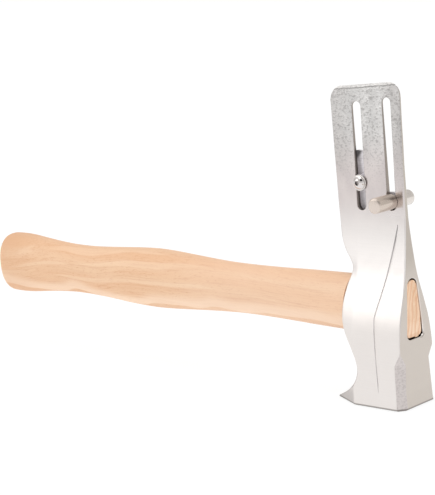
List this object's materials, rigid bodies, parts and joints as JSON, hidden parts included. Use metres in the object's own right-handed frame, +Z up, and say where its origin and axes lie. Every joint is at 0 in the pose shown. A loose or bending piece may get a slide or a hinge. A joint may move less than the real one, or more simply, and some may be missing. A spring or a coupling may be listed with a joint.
{
  "type": "roofing hatchet",
  "caption": "Roofing hatchet with a square hammer poll, a nail beak, a thin slotted blade, a sliding shingle gauge held by a screw, and a straight waved wooden handle.",
  "frame": {"origin": "centre of the square striking face, in the plane of that face", "axes": "+Z up the head from the striking face to the cutting edge, +X towards the head's front face, with the handle along -X, and +Y through the cheeks, with the screw's head on the -Y side"},
  "size_m": [0.3491, 0.0334, 0.1771],
  "materials": {
    "head_steel": "forged and ground, satin",
    "handle_wood": "beech, clear satin lacquer",
    "wedge_wood": "bare, end grain",
    "gauge_steel": "stamped, satin",
    "post_steel": "turned, smooth satin",
    "fastener_steel": "zinc plated",
    "screw_chrome": "polished"
  },
  "bodies": {
    "hatchet": {"head": "head_steel", "handle": "handle_wood", "handle_wedge": "wedge_wood"},
    "gauge": {"gauge_plate": "gauge_steel", "gauge_post_front": "post_steel", "gauge_post_rear": "post_steel", "clamp_nut": "fastener_steel"},
    "washer": {"clamp_washer": "fastener_steel"},
    "screw": {"clamp_screw": "screw_chrome"}
  },
  "joints": [
    {"name": "gauge_slide", "type": "slide", "parent": "hatchet", "child": "gauge", "axis": [0, 0, 1], "range_m": [-0.0016, 0.0385]},
    {"name": "screw_back_off", "type": "slide", "parent": "gauge", "child": "washer", "axis": [0, -1, 0], "range_m": [0, 0.0014]},
    {"name": "screw_turn", "type": "hinge", "parent": "washer", "child": "screw", "pos_m": [-0.0139, 0, 0.1226], "axis": [0, -1, 0], "range_deg": [0, 720]}
  ],
  "couplings": [
    {"joint": "screw_turn", "follows": "screw_back_off", "rad_per_m": 8975.9}
  ]
}
